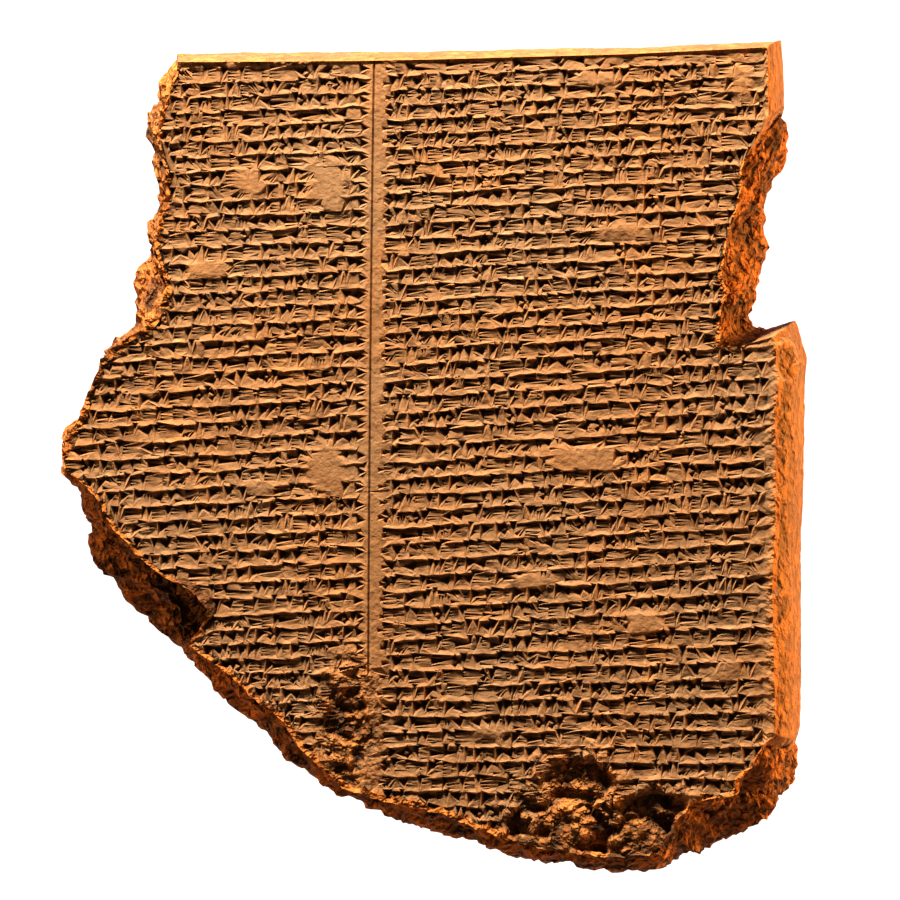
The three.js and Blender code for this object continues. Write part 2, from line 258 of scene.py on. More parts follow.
def layered(kind, layers, x, y, z=None):
    """The sum of layers of one kind of noise, on the plane z = 0 where no z is given."""
    if z is None:
        z = np.zeros(len(x))
    return sum(strength * kind(x, y, z, size, seed) for strength, size, seed in layers)


def smooth(share):
    """Share held to 0..1, with a soft start and end."""
    share = np.clip(share, 0, 1)
    return share * share * (3 - 2 * share)


# ---- the face and the back ----
def reach_share(x, y):
    return (x / HALF_WIDTH) ** 2 + (y / HALF_HEIGHT) ** 2


def face_height(x, y):
    return THICKNESS - FACE_DOME * reach_share(x, y)


def back_height(x, y):
    return BACK_DOME * np.maximum(0, reach_share(x, y) - RESTING_SHARE)


# ---- the outline ----
def angle_at(x, y):
    return np.arctan2(y - HEART[1], x - HEART[0])


def reach_at(x, y):
    return np.hypot(x - HEART[0], y - HEART[1])


def pushed_out(x, y, distance):
    """The points moved straight away from the heart by a distance."""
    reach = reach_at(x, y)
    scale = (reach + distance) / reach
    return HEART[0] + (x - HEART[0]) * scale, HEART[1] + (y - HEART[1]) * scale


def outline():
    """Stations every OUTLINE_STEP along the face's edge, clockwise: x, y, spread, broken, stepped."""
    corners = [
        (x, y, spread, broken, stepped)
        for stations, broken, stepped in STRETCHES
        for x, y, spread in stations
    ]
    stations = []
    for index, corner in enumerate(corners):
        following = corners[(index + 1) % len(corners)]
        length = math.dist(corner[:2], following[:2])
        steps = max(1, round(length / OUTLINE_STEP))
        for step in range(steps):
            share = step / steps
            station = [(1 - share) * a + share * b for a, b in zip(corner, following)]
            station[3] = min(corner[3], following[3]) if step else corner[3]
            stations.append(station)
    x, y, spread, broken, stepped = np.array(stations).T
    x, y = pushed_out(x, y, layered(clay_noise, EDGE_JAGS, x, y) * broken)
    return x, y, spread, broken, stepped


def at_angles(x, y, edge_x, edge_y, values):
    """The edge's values in the directions of the points, seen from the heart."""
    angles = angle_at(edge_x, edge_y)
    order = np.argsort(angles)
    return np.interp(angle_at(x, y), angles[order], values[order], period=2 * math.pi)


def inside(x, y, edge_x, edge_y, margin):
    """Whether the points are inside the outline by at least margin, seen from the heart."""
    return reach_at(x, y) + margin < at_angles(x, y, edge_x, edge_y, reach_at(edge_x, edge_y))


# ---- strokes: each is a pit with three sloping sides ----
class Stroke:
    """Three corners, anticlockwise, and the deepest point between them."""
    def __init__(self, corners, deepest, depth):
        self.corners = corners
        self.deepest = deepest
        self.depth = depth

    def depth_at(self, x, y):
        share = np.full(len(x), np.inf)
        for index in range(3):
            ax, ay = self.corners[index]
            bx, by = self.corners[(index + 1) % 3]
            across = (bx - ax) * (y - ay) - (by - ay) * (x - ax)
            deepest = (bx - ax) * (self.deepest[1] - ay) - (by - ay) * (self.deepest[0] - ax)
            share = np.minimum(share, across / deepest)
        return self.depth * np.maximum(0, share)

    def moved(self, dx, dy):
        places = [(x + dx, y + dy) for x, y in (*self.corners, self.deepest)]
        return Stroke(places[:3], places[3], self.depth)


def wedge(x, y, angle, length, width, depth, head=0.3):
    """A stroke with its head at x, y and its tail along angle, deepest at head times its width along it."""
    along = (math.cos(angle), math.sin(angle))

    def place(forward, sideways):
        return (x + forward * along[0] - sideways * along[1], y + forward * along[1] + sideways * along[0])

    corners = [place(0, width / 2), place(0, -width / 2), place(length, 0)]
    return Stroke(corners, place(head * width, 0), depth)


DOWN = -math.pi / 2
LIE = 0.05  # a lying stroke climbs a little to the right
# Depths: the least, and what each millimetre of a stroke's width adds.
POST_DEPTHS = (0.24, 0.3)
BAR_DEPTHS = (0.3, 0.4)
CRACK_DEPTHS = (0.3, 1)
POST_LEAN = (-0.22, 0.1)
POST_STRAY = 0.3
POST_HEAD = 0.26
BAR_LEAN = 0.07
BAR_HEAD = 0.45
BAR_PITCH = 0.6
CRACK_HEAD = 0.5
THIN = 0.5
STACK_STRAY = 0.08
COMB_PITCH = 0.56
SLANT_PITCH = 0.55
# Places in a row for the heads of its strokes, measured up from the row's top.
ABOVE = 0.3
TOP = -0.1
UPPER = -0.4
SHOULDER = -0.9
MIDDLE = -1.1
LOWER = -2.1
FOOT = -2.2


def depth_for(width, depths):
    """Broader strokes are pressed deeper."""
    least, more = depths
    return least + more * width


def post(rng, s, width, height, top=ABOVE):
    """An upright stroke: a broad head at the top of the row, its tail running down."""
    lean = rng.uniform(*POST_LEAN)
    t = top + rng.uniform(-POST_STRAY, POST_STRAY)
    return wedge(s + width / 2, t, DOWN + lean, height, width, depth_for(width, POST_DEPTHS), POST_HEAD)


def bar(rng, s, t, length, width):
    """A lying stroke: its head at the left, its tail running right."""
    lean = rng.uniform(-BAR_LEAN, BAR_LEAN)
    return wedge(s, t, LIE + lean, length, width, depth_for(width, BAR_DEPTHS), BAR_HEAD)


def stack(rng, s, top, count, length):
    """Short thin bars, one under another."""
    return [
        bar(rng, s + rng.uniform(-STACK_STRAY, STACK_STRAY), top - BAR_PITCH * index, length, THIN)
        for index in range(count)
    ]


# ---- signs: groups of strokes that spell nothing, sized in millimetres and turned in radians ----
# Each gives its width and its strokes.
def sign_post(rng):
    width = rng.uniform(1.3, 2.3)
    return width * 0.92, [post(rng, 0, width, rng.uniform(2.3, 3.7))]


def sign_two_posts(rng):
    width = rng.uniform(0.9, 1.3)
    strokes = [post(rng, start, width, height=3.1) for start in (0, width * 0.95)]
    return width * 1.9, strokes


def sign_bars(rng):
    """Thin bars that end at a post."""
    length = rng.uniform(1.4, 2.8)
    width = rng.uniform(1.1, 1.7)
    strokes = stack(rng, 0, rng.uniform(-0.35, -0.6), rng.choice([3, 3, 4]), length)
    strokes.append(post(rng, length - 0.25, width, rng.uniform(2.9, 3.5)))
    return length + width - 0.4, strokes


def sign_stack(rng):
    """Thin bars under a thick one."""
    length = rng.uniform(1.5, 3.6)
    strokes = stack(rng, 0, -0.75, rng.choice([2, 3, 3]), length)
    strokes.append(bar(rng, -0.1, TOP, length + 0.3, width=1.1))
    return length + 0.05, strokes


def sign_long_bar(rng):
    """A long bar, perhaps with thin ones beside it and a post across it."""
    length = rng.uniform(2.4, 6.0)
    strokes = [bar(rng, 0, rng.uniform(-1.5, -1.0), length, rng.uniform(1.0, 1.5))]
    if rng.random() < 0.5:
        strokes.append(bar(rng, 0.3, UPPER, length * 0.8, width=0.6))
    if rng.random() < 0.5:
        strokes.append(bar(rng, 0.2, LOWER, length * 0.8, THIN))
    if rng.random() < 0.7:
        strokes.append(post(rng, length * rng.uniform(0.4, 0.7), width=1.5, height=2.7))
    return length * 0.82, strokes


def sign_comb(rng):
    """Narrow posts with a bar over or under them."""
    count = rng.choice([2, 3, 4])
    top = rng.choice([0.2, SHOULDER])
    strokes = [
        post(rng, COMB_PITCH * index, 0.6, rng.uniform(1.4, 1.9), top)
        for index in range(count)
    ]
    beam = -2.0 if top > 0 else UPPER
    strokes.append(bar(rng, -0.1, beam, COMB_PITCH * count + 0.2, width=0.9))
    return COMB_PITCH * count + 0.05, strokes


def sign_corner(rng):
    """A broad hook that opens to the right, perhaps with a post on it."""
    width = rng.uniform(1.7, 2.5)
    turn = math.pi + rng.uniform(-0.5, 0.2)
    strokes = [wedge(width, MIDDLE, turn, length=width, width=width * 1.1, depth=0.7)]
    if rng.random() < 0.6:
        strokes.append(wedge(width * 0.9, UPPER, DOWN, length=2.2, width=1.5, depth=0.6))
    return width * 0.95, strokes


def sign_slants(rng):
    """Slanting strokes side by side, with a bar where they end."""
    count = rng.choice([2, 3])
    turn = rng.choice([-0.9, -0.7, 0.75])
    start, end = (TOP, FOOT) if turn < 0 else (LOWER, UPPER)
    strokes = [
        wedge(0.1 + SLANT_PITCH * index, start, turn, length=2.4, width=0.95, depth=0.5, head=0.4)
        for index in range(count)
    ]
    strokes.append(bar(rng, 0, end, length=1.9, width=0.9))
    return 1.0 + SLANT_PITCH * count, strokes


def sign_fork(rng):
    """Two slanting strokes that meet at a post."""
    falling = wedge(0, TOP, -0.8, length=2.5, width=1.4, depth=0.6)
    rising = wedge(0.1, LOWER, 0.75, length=2.3, width=1.3, depth=0.6)
    return 2.5, [falling, rising, post(rng, 1.2, width=1.7, height=3.2)]


def sign_sail(rng):
    """A steep pit to the right of a broad tilted facet."""
    width = rng.uniform(1.8, 2.8)
    turn = -1.9 + rng.uniform(-0.2, 0.2)
    strokes = [wedge(width, TOP, turn, length=2.8, width=width * 0.9, depth=0.75, head=0.22)]
    strokes += stack(rng, 0, SHOULDER, count=2, length=width * 0.5)
    return width * 1.1, strokes


# Each sign, and how often it comes up beside the others.
SIGNS = [
    (sign_post, 2.6), (sign_two_posts, 1.4), (sign_bars, 4), (sign_stack, 4), (sign_long_bar, 2.6),
    (sign_comb, 1.6), (sign_corner, 2.6), (sign_slants, 2.6), (sign_fork, 1.6), (sign_sail, 4),
]
SIGN_OVERLAP = 0.3  # the most that two signs share
# The broad stroke that ends a row of a column.
END_ROOM = (1.3, 2.0)
LEAST_ROOM = 0.8  # there is none where less is left
END_OVERLAP = 0.2
END_LEVEL = -1.2
END_WIDTH = 1.9
END_DEPTH = 0.75
# The narrower one that starts a row beside the strip.
START_STRAY = 0.9
START_LEVEL = -1.3
START_LENGTH = 2
START_WIDTH = 1.1
START_DEPTH = 0.5
START_GAP = 0.2


# ---- rows and columns ----
def row_slope(level):
    """How far rows climb for each millimetre to the right."""
    return np.interp(level, SLOPE_LEVELS, ROW_SLOPES)


def row_y(row, x):
    """The top of a row, which wavers a little as a hand does."""
    swing = ROW_SWING * np.sin(2 * math.pi * row / ROW_SWING_LENGTH)
    waver = sum(height * np.sin(along * x + down * row) for height, along, down in ROW_WAVES)
    level = FIRST_ROW - row * ROW_PITCH + swing
    return level + row_slope(level) * x + waver


def row_share(x, y):
    """How far down its row each point lies, from 0 to 1."""
    share = np.zeros(len(x))
    for row in range(-SPARE_ROWS, ROW_COUNT + SPARE_ROWS):
        top = row_y(row, x)
        foot = row_y(row + 1, x)
        here = (y <= top) & (y > foot)
        share[here] = ((top - y) / (top - foot))[here]
    return share


def divider_x(y):
    share = (DIVIDER_TOP[1] - y) / (DIVIDER_TOP[1] - DIVIDER_FOOT[1])
    return DIVIDER_TOP[0] + share * (DIVIDER_FOOT[0] - DIVIDER_TOP[0])


def in_column(x, y):
    """1 in the two columns of writing, 0 on the strip between them, with a soft edge."""
    past = x - divider_x(y)
    room = np.where(past > 0, past - STRIP_WIDTH, -past - STRIP_MARGIN)
    return (room / STRIP_FADE).clip(0, 1)


def column_strokes(rng, row, start, end):
    """One row's signs between two margins, with a broad head at the end."""
    strokes = []
    x = start
    last = rng.uniform(*END_ROOM)
    kinds, weights = zip(*SIGNS)
    while x < end - last:
        width, marks = rng.choices(kinds, weights)[0](rng)
        if x + width > end - last + SIGN_OVERLAP:
            break
        strokes += [mark.moved(x, row_y(row, x)) for mark in marks]
        x += width + rng.uniform(-SIGN_OVERLAP, 0.0)
    if end - x > LEAST_ROOM:
        y = row_y(row, x) + END_LEVEL
        strokes.append(wedge(end - last - END_OVERLAP, y, LIE, last + 2 * END_OVERLAP, END_WIDTH, END_DEPTH))
    return strokes


def inscription():
    rng = random.Random(STROKE_SEED)
    strokes = []
    for row in range(ROW_COUNT):
        divide = divider_x(row_y(row, DIVIDER_TOP[0]))
        left_end = -HALF_WIDTH - LEFT_OVERRUN + rng.random()
        strokes += column_strokes(rng, row, left_end, divide - STRIP_MARGIN)
        start = divide + STRIP_WIDTH
        x = start - rng.uniform(0, START_STRAY)
        y = row_y(row, start) + START_LEVEL
        strokes.append(wedge(x, y, LIE, START_LENGTH, START_WIDTH, START_DEPTH))
        strokes += column_strokes(rng, row, start + START_GAP, HALF_WIDTH - RIGHT_MARGIN)
    return strokes


def keep_strokes(strokes, edge_x, edge_y):
    """The strokes that lie on the face, and not where it is lost or rubbed smooth."""
    x, y = np.array([stroke.deepest for stroke in strokes]).T
    on_face = inside(x, y, edge_x, edge_y, STROKE_MARGIN)
    wanted = on_face & (scar_share(x, y) < LOST_LIMIT) & (rubbed(x, y) < RUBBED_LIMIT)
    return [stroke for stroke, keep in zip(strokes, wanted) if keep]


def crack_strokes():
    """Each crack as a chain of narrow strokes that overlap."""
    strokes = []
    for width, places in CRACKS:
        for start, end in zip(places, places[1:]):
            angle = math.atan2(end[1] - start[1], end[0] - start[0])
            length = math.dist(start, end) * CRACK_OVERLAP
            strokes.append(wedge(*start, angle, length, width, depth_for(width, CRACK_DEPTHS), CRACK_HEAD))
    return strokes


# ---- scars and rubbed spots ----
def spot_distance(x, y, spot):
    """The square of the distance from a spot's middle, 1 at its own reach."""
    return ((x - spot[0]) / spot[2]) ** 2 + ((y - spot[1]) / spot[3]) ** 2


def within(distance, rim, fade=1):
    """1 inside a rim, falling to 0 at it over the width fade."""
    return smooth((rim - distance) / fade)


def rubbed(x, y):
    """How far the writing is rubbed away, from 0 to 1."""
    distance = np.min([spot_distance(x, y, blank) for blank in BLANKS], axis=0).clip(None, BLANK_LIMIT)
    ragged = layered(clay_noise, RUBBED_RAGS, x, y) * (distance < BLANK_LIMIT)
    return within(distance - ragged, BLANK_RIM)


def scar_share(x, y):
    """1 where the face has broken away, falling to 0 over a ragged edge."""
    share = np.zeros(len(x))
    for scar in SCARS:
        distance = spot_distance(x, y, scar)
        near = distance < SCAR_LIMIT
        ragged = layered(clay_noise, SCAR_RAGS, x[near], y[near])
        share[near] = np.maximum(share[near], within(distance[near] - ragged, SCAR_RIM, SCAR_FADE))
    return share


def frayed(x, y):
    """How far the writing around the scars is worn, from 0 to 1."""
    distance = np.min([spot_distance(x, y, scar) for scar in SCARS], axis=0)
    return within(distance, FRAY_RIM, FRAY_FADE)


def scar_depth(x, y):
    """How much of the face is missing at each point."""
    share = scar_share(x, y)
    near = share > 0
    px, py = x[near], y[near]
    deep = np.zeros(len(px))
    for scar in SCARS:
        deep = np.maximum(deep, scar[4] * within(spot_distance(px, py, scar), DEPTH_RIM, DEPTH_FADE))
    calm = np.zeros(len(px))
    for mound in MOUNDS:
        on_mound = within(spot_distance(px, py, mound), MOUND_RIM)
        deep -= mound[4] * on_mound
        calm = np.maximum(calm, on_mound)
    rough = layered(clay_noise, SCAR_SWELLS, px, py) + layered(lumps, SCAR_LUMPS, px, py)
    depth = np.zeros(len(x))
    depth[near] = share[near] * np.maximum(SHALLOWEST_SCAR, deep + rough * (1 - MOUND_CALM * calm))
    return depth


def scar_points(edge_x, edge_y):
    """Points on one grid over all the scars, each a little astray."""
    rng = random.Random(SCAR_SEED)
    points = set()
    for x, y, reach_x, reach_y, _ in SCARS:
        for px in np.arange(x - SCAR_REACH * reach_x, x + SCAR_REACH * reach_x, SCAR_STEP):
            for py in np.arange(y - SCAR_REACH * reach_y, y + SCAR_REACH * reach_y, SCAR_STEP):
                points.add((round(px / SCAR_STEP) * SCAR_STEP, round(py / SCAR_STEP) * SCAR_STEP))
    points = np.array(sorted(points))
    points += np.array([
        (rng.uniform(-SCAR_STRAY, SCAR_STRAY), rng.uniform(-SCAR_STRAY, SCAR_STRAY))
        for _ in points
    ])
    x, y = points.T
    return points[inside(x, y, edge_x, edge_y, SCAR_MARGIN) & (scar_share(x, y) > FAINTEST_SCAR)]


# ---- an inscribed surface: the outline filled with triangles that follow every stroke ----
def filled(edge_x, edge_y, strokes, lines, loose):
    """Points and triangles of the outline, cut along the strokes and lines."""
    points = [Vector(point) for point in zip(edge_x, edge_y)]
    rim = list(range(len(points)))
    edges = []
    for stroke in strokes:
        first = len(points)
        points += [Vector(corner) for corner in stroke.corners] + [Vector(stroke.deepest)]
        edges += [(first, first + 1), (first + 1, first + 2), (first + 2, first)]
        if math.dist(stroke.corners[0], stroke.corners[1]) > CREASED_WIDTH:
            edges += [(first + corner, first + 3) for corner in range(3)]
    for line in lines:
        first = len(points)
        points += [Vector(point) for point in line]
        edges += [(first + index, first + index + 1) for index in range(len(line) - 1)]
    points += [Vector(point) for point in loose]
    result = delaunay_2d_cdt(points, edges, [rim], ALL_TRIANGLES, MERGED_WITHIN, True)
    places, _, faces, _, _, origins = result
    triangles = np.array([face for face, origin in zip(faces, origins) if 0 in origin])
    flat = np.array([tuple(place) for place in places])
    used = np.unique(triangles)
    renumber = np.full(len(flat), -1)
    renumber[used] = np.arange(len(used))
    return flat[used], renumber[triangles]


def stroke_depth(points, strokes):
    """How deep the strokes go at each point."""
    order = np.argsort(points[:, 1])
    x, y = points[order].T
    depth = np.zeros(len(points))
    slack = 1e-3
    for stroke in strokes:
        levels = [corner[1] for corner in stroke.corners]
        low = np.searchsorted(y, min(levels) - slack)
        high = np.searchsorted(y, max(levels) + slack)
        near = np.nonzero(np.abs(x[low:high] - stroke.deepest[0]) < STROKE_REACH)[0] + low
        depth[near] = np.maximum(depth[near], stroke.depth_at(x[near], y[near]))
    result = np.zeros(len(points))
    result[order] = depth
    return result


def row_relief(x, y):
    """The rows' own relief: a step down at the top of each row, then a slope up that steepens to its foot."""
    share = row_share(x, y)
    step = np.minimum(1, share / CLIFF_SHARE)
    slow = 1 - GENTLE_CLIMB * ((share - CLIFF_SHARE) / (BEND_SHARE - CLIFF_SHARE)).clip(0, 1)
    climb = slow - (1 - GENTLE_CLIMB) * ((share - BEND_SHARE) / (1 - BEND_SHARE)).clip(0, 1)
    fullness = FULLNESS + layered(clay_noise, ROW_SWELLS, x, y)
    dips = np.abs(layered(clay_noise, ROW_DIPS, x, y))
    return (ROW_RELIEF * step * climb * fullness + dips) * in_column(x, y)


def row_lines(drop, edge_x, edge_y):
    """Runs of points along every row, a share of its height down, that stop at the strip and the scars."""
    rng = random.Random(LINE_SEED)
    runs = []
    for row in range(ROW_COUNT + 1):
        x = np.arange(-HALF_WIDTH - LINE_OVERRUN, HALF_WIDTH, LINE_STEP) + rng.random()
        y = (1 - drop) * row_y(row, x) + drop * row_y(row + 1, x)
        on_face = inside(x, y, edge_x, edge_y, LINE_MARGIN)
        usable = on_face & (in_column(x, y) > COLUMN_LIMIT) & (scar_share(x, y) < LOST_LIMIT)
        for wanted, places in groupby(zip(usable, x, y), key=lambda place: place[0]):
            run = [(px, py) for _, px, py in places]
            if wanted and len(run) > 1:
                runs.append(run)
    return runs


def divider_lines():
    """The divider's two edges and its bottom."""
    steps = np.arange(DIVIDER_STEPS + 1)[:, None]
    middle = DIVIDER_TOP + (DIVIDER_FOOT - DIVIDER_TOP) * steps / DIVIDER_STEPS
    return [middle + (side * DIVIDER_HALF_WIDTH, 0) for side in (-1, 0, 1)]


def divider_depth(x, y):
    across = np.abs(x - divider_x(y)) / DIVIDER_HALF_WIDTH
    on_line = (y <= DIVIDER_TOP[1]) & (y >= DIVIDER_FOOT[1])
    return np.where(on_line, DIVIDER_DEPTH * np.maximum(0, 1 - across), 0)


def boundary_loop(triangles):
    """The rim of a filled outline, in the order in which its triangles run along it."""
    edges = np.concatenate([triangles[:, [0, 1]], triangles[:, [1, 2]], triangles[:, [2, 0]]])
    keys = np.sort(edges, axis=1)
    _, first, counts = np.unique(keys, axis=0, return_index=True, return_counts=True)
    following = {a: b for a, b in edges[first[counts == 1]]}
    start = next(iter(following))
    loop = [start]
    while following[loop[-1]] != start:
        loop.append(following[loop[-1]])
    return np.array(loop)


def inscribed_face(edge_x, edge_y, broken):
    """The face's points and triangles, its rim, and its marks."""
    strokes = keep_strokes(inscription(), edge_x, edge_y)
    cracks = crack_strokes()
    lines = divider_lines() + row_lines(0, edge_x, edge_y)
    loose = [scar_points(edge_x, edge_y)]
    for drop in (CLIFF_SHARE, BEND_SHARE):
        loose += row_lines(drop, edge_x, edge_y)
    flat, triangles = filled(edge_x, edge_y, strokes + cracks, lines, np.concatenate(loose))
    x, y = flat.T
    lost = scar_share(x, y)
    written = 1 - rubbed(x, y)
    wear = frayed(x, y)
    pits = (stroke_depth(flat, strokes) + row_relief(x, y)) * (1 - lost) * written * (1 - FRAY * wear)
    pits = np.maximum(pits, np.maximum(divider_depth(x, y), stroke_depth(flat, cracks)))
    missing = scar_depth(x, y)
    facets = FACETS * np.random.default_rng(FACET_SEED).uniform(-1, 1, len(x)) * in_column(x, y) * written
    swells = layered(clay_noise, FACE_SWELLS, x, y) + wear * layered(clay_noise, FRAYED_SWELLS, x, y)
    z = face_height(x, y) + swells + facets - pits - missing
    loop = boundary_loop(triangles)
    worn = np.maximum(lost, STAIN * wear * smooth(STAIN_FULLNESS + layered(clay_noise, STAIN_SPOTS, x, y)))
    worn[loop] = at_angles(x[loop], y[loop], edge_x, edge_y, broken)
    edge = np.zeros(len(x))
    # Partly wear, partly painted rim light: the face's edge over a broken side is marked to turn a bright
    # red.
    edge[loop] = EDGE_WEAR_AND_RIM_MARK * (1 - lost[loop]) * (worn[loop] > BROKEN_LIMIT)
    # Painted shade, partly dirt: the pit mark darkens the colour in the strokes, the rows' steps and deep
    # scars, where shade falls.
    pit = pits + SCAR_SHADE * lost * (missing - 1).clip(0, DEEPEST_SHADE)
    return np.column_stack([x, y, z]), triangles, loop, {"worn": worn, "pit": pit, "edge": edge}


# ---- the sides ----
def side_outset(spread, level, stepped, ledges):
    """How far the side stands out from the face's edge at a level, 0 at the face and 1 at the foot."""
    swell = 1 - (1 - np.minimum(1, level / WIDEST_LEVEL)) ** ROUNDNESS
    steps = [smooth((level - ledge) / height) for ledge, (*_, height) in zip(ledges, LEDGES)]
    stair = sum(steps) / len(steps)
    undercut = smooth((level - LIP_LEVEL) / UNDERCUT_RISE) * smooth((ledges[0] - level) / UNDERCUT_FALL)
    lip = smooth(level / LIP_LEVEL) * smooth(2 - level / LIP_LEVEL)
    tuck = np.maximum(0, (level - WIDEST_LEVEL) / (1 - WIDEST_LEVEL)) ** 2
    outset = spread * ((1 - stepped) * swell + stepped * stair)
    return outset + stepped * (LIP * lip - UNDERCUT * undercut) - BACK_INSET * tuck


def side_point(x, y, spread, stepped, ledges, z):
    level = np.clip(1 - z / THICKNESS, 0, 1)
    return pushed_out(x, y, side_outset(spread, level, stepped, ledges))


def back_rim(x, y, spread, stepped, ledges):
    """Where the side meets the back, found by going to and fro between the two."""
    z = np.full(len(x), FIRST_RIM_HEIGHT)
    for _ in range(RIM_ROUNDS):
        px, py = side_point(x, y, spread, stepped, ledges, z)
        z = back_height(px, py)
    return np.column_stack([px, py, z])


def side_relief(grid, broken):
    """How far each point of a grid of side points stands out because the side is rough."""
    x, y, z = grid.reshape(-1, 3).T
    rough = (
        layered(clay_noise, BROKEN_SWELLS, x, y, z)
        + layered(clay_noise, BROKEN_BEDS, x, y, BED_FLATNESS * z)
        + layered(lumps, BROKEN_LUMPS, x, y, z)
    ).reshape(grid.shape[:2])
    fine = layered(clay_noise, WHOLE_SWELLS, x, y, z).reshape(grid.shape[:2])
    return broken * rough + (1 - broken) * fine


def cavity_depth(grid):
    """How far the hollows in the sides draw in each point of a grid of side points."""
    depth = np.zeros(grid.shape[:2])
    for x, y, z, reach, deep in CAVITIES:
        distance = ((grid - (x, y, z)) ** 2).sum(axis=2) / reach ** 2
        depth += deep * within(distance, CAVITY_RIM)
    return depth


def outward(grid):
    """The unit direction out of the side at each point of a grid of side points."""
    along = np.roll(grid, -1, axis=1) - np.roll(grid, 1, axis=1)
    down = np.gradient(grid, axis=0)
    normal = np.cross(down, along)
    return normal / np.linalg.norm(normal, axis=2, keepdims=True)


def side_rings(x, y, spread, broken, stepped):
    """The side's rings of points, from the face's edge down, with the back's rim and the rings' marks."""
    ledges = [
        level + layered(clay_noise, [(stray, size, seed)], x, y)
        for level, stray, size, seed, _ in LEDGES
    ]
    rim = back_rim(x, y, spread, stepped, ledges)
    top = face_height(x, y)
    shares = (np.arange(1, SIDE_RINGS) / SIDE_RINGS) ** RING_CROWDING
    rings = []
    for share in shares:
        z = top + (rim[:, 2] - top) * share
        rings.append(np.column_stack([*side_point(x, y, spread, stepped, ledges, z), z]))
    grid = np.array(rings)
    fade = np.minimum(1, np.minimum(shares / RELIEF_STARTS, (1 - shares) / RELIEF_ENDS))[:, None]
    lift = fade * side_relief(grid, broken) - cavity_depth(grid)
    stray = np.random.default_rng(STRAY_SEED).uniform(-1, 1, grid.shape) * fade[:, :, None]
    stray *= (GRAIN + (CRUMBLE - GRAIN) * broken)[None, :, None]
    worn = np.tile(broken * (1 - SIDE_WEAR) + SIDE_WEAR, (len(shares), 1))
    # Painted shade and highlight: where a broken side sinks, the pit mark darkens its colour; where it rises,
    # the edge mark lightens it.
    crease = (-lift * broken * RELIEF_SHADE_AND_HIGHLIGHT).clip(0, STRONGEST_MARK)
    edge = (lift * broken * RELIEF_SHADE_AND_HIGHLIGHT).clip(0, STRONGEST_MARK)
    # Partly wear, partly painted rim light: the rings just under the face's edge are marked red.
    edge[:EDGE_RINGS] = EDGE_WEAR_AND_RIM_MARK * (1 - scar_share(x, y))
    edge *= worn > BROKEN_LIMIT
    return grid + outward(grid) * lift[:, :, None] + stray, rim, {"worn": worn, "pit": crease, "edge": edge}


def side_triangles(rings, count):
    """Triangles between rings of count points each, numbered ring by ring."""
    triangles = []
    for ring in range(rings - 1):
        here = ring * count + np.arange(count)
        beside = ring * count + (np.arange(count) + 1) % count
        triangles.append(np.column_stack([here, here + count, beside]))
        triangles.append(np.column_stack([beside, here + count, beside + count]))
    return np.concatenate(triangles)


# ---- the back ----
def plain_back(rim):
    """The back's points, its triangles, which still face up, and its marks."""
    rng = random.Random(BACK_SEED)
    points = np.array([
        (x + rng.uniform(-BACK_STRAY, BACK_STRAY), y + rng.uniform(-BACK_STRAY, BACK_STRAY))
        for x in np.arange(*BACK_SPAN_X, BACK_STEP)
        for y in np.arange(*BACK_SPAN_Y, BACK_STEP)
    ])
    rim_x, rim_y, _ = rim.T
    loose = points[inside(*points.T, rim_x, rim_y, BACK_MARGIN)]
    flat, triangles = filled(rim_x, rim_y, [], [], loose)
    plain = np.zeros(len(flat))
    marks = {"worn": plain + BACK_WEAR, "pit": plain, "edge": plain}
    return np.column_stack([flat, back_height(*flat.T)]), triangles, marks


# ---- joining it all into one closed skin ----
def in_turn(loop, points):
    """The loop started at its lowest angle, anticlockwise, with its angles and the first one a turn on."""
    angles = angle_at(points[loop, 0], points[loop, 1])
    start = int(np.argmin(angles))
    loop = np.roll(loop, -start)
    angles = np.maximum.accumulate(np.roll(angles, -start))
    return loop, np.append(angles, angles[0] + 2 * math.pi)


def zip_loops(upper_loop, lower_loop, points):
    """Triangles between two loops of point numbers, both anticlockwise round the heart."""
    upper, upper_angle = in_turn(upper_loop, points)
    lower, lower_angle = in_turn(lower_loop, points)
    triangles = []
    a = 0
    b = 0
    while a < len(upper) or b < len(lower):
        next_a = upper_angle[a + 1] if a < len(upper) else math.inf
        next_b = lower_angle[b + 1] if b < len(lower) else math.inf
        here = (upper[a % len(upper)], lower[b % len(lower)])
        if next_a <= next_b:
            a += 1
            triangles.append((*here, upper[a % len(upper)]))
        else:
            b += 1
            triangles.append((*here, lower[b % len(lower)]))
    return np.array(triangles)


def tablet_mesh():
    """The whole tablet: its points, triangles, marks for the material, and the back's first point number."""
    anticlockwise = (values[::-1] for values in outline())
    edge_x, edge_y, spread, broken, stepped = anticlockwise
    face_points, face_triangles, face_loop, face_marks = inscribed_face(edge_x, edge_y, broken)
    grid, rim, side_marks = side_rings(edge_x, edge_y, spread, broken, stepped)
    back_points, back_triangles, back_marks = plain_back(rim)
    rings, count = grid.shape[:2]
    first_side = len(face_points)
    first_back = first_side + rings * count
    points = np.concatenate([face_points, grid.reshape(-1, 3), back_points])
    back_loop = boundary_loop(back_triangles) + first_back
    top_ring = first_side + np.arange(count)
    foot_ring = first_back - count + np.arange(count)
    triangles = np.concatenate([
        face_triangles,
        side_triangles(rings, count) + first_side,
        zip_loops(face_loop, top_ring, points),
        zip_loops(foot_ring, back_loop, points),
        back_triangles[:, ::-1] + first_back,
    ])
    marks = {
        name: np.concatenate([face_marks[name], side_marks[name].ravel(), back_marks[name]])
        for name in face_marks
    }
    return points, triangles, marks, first_back


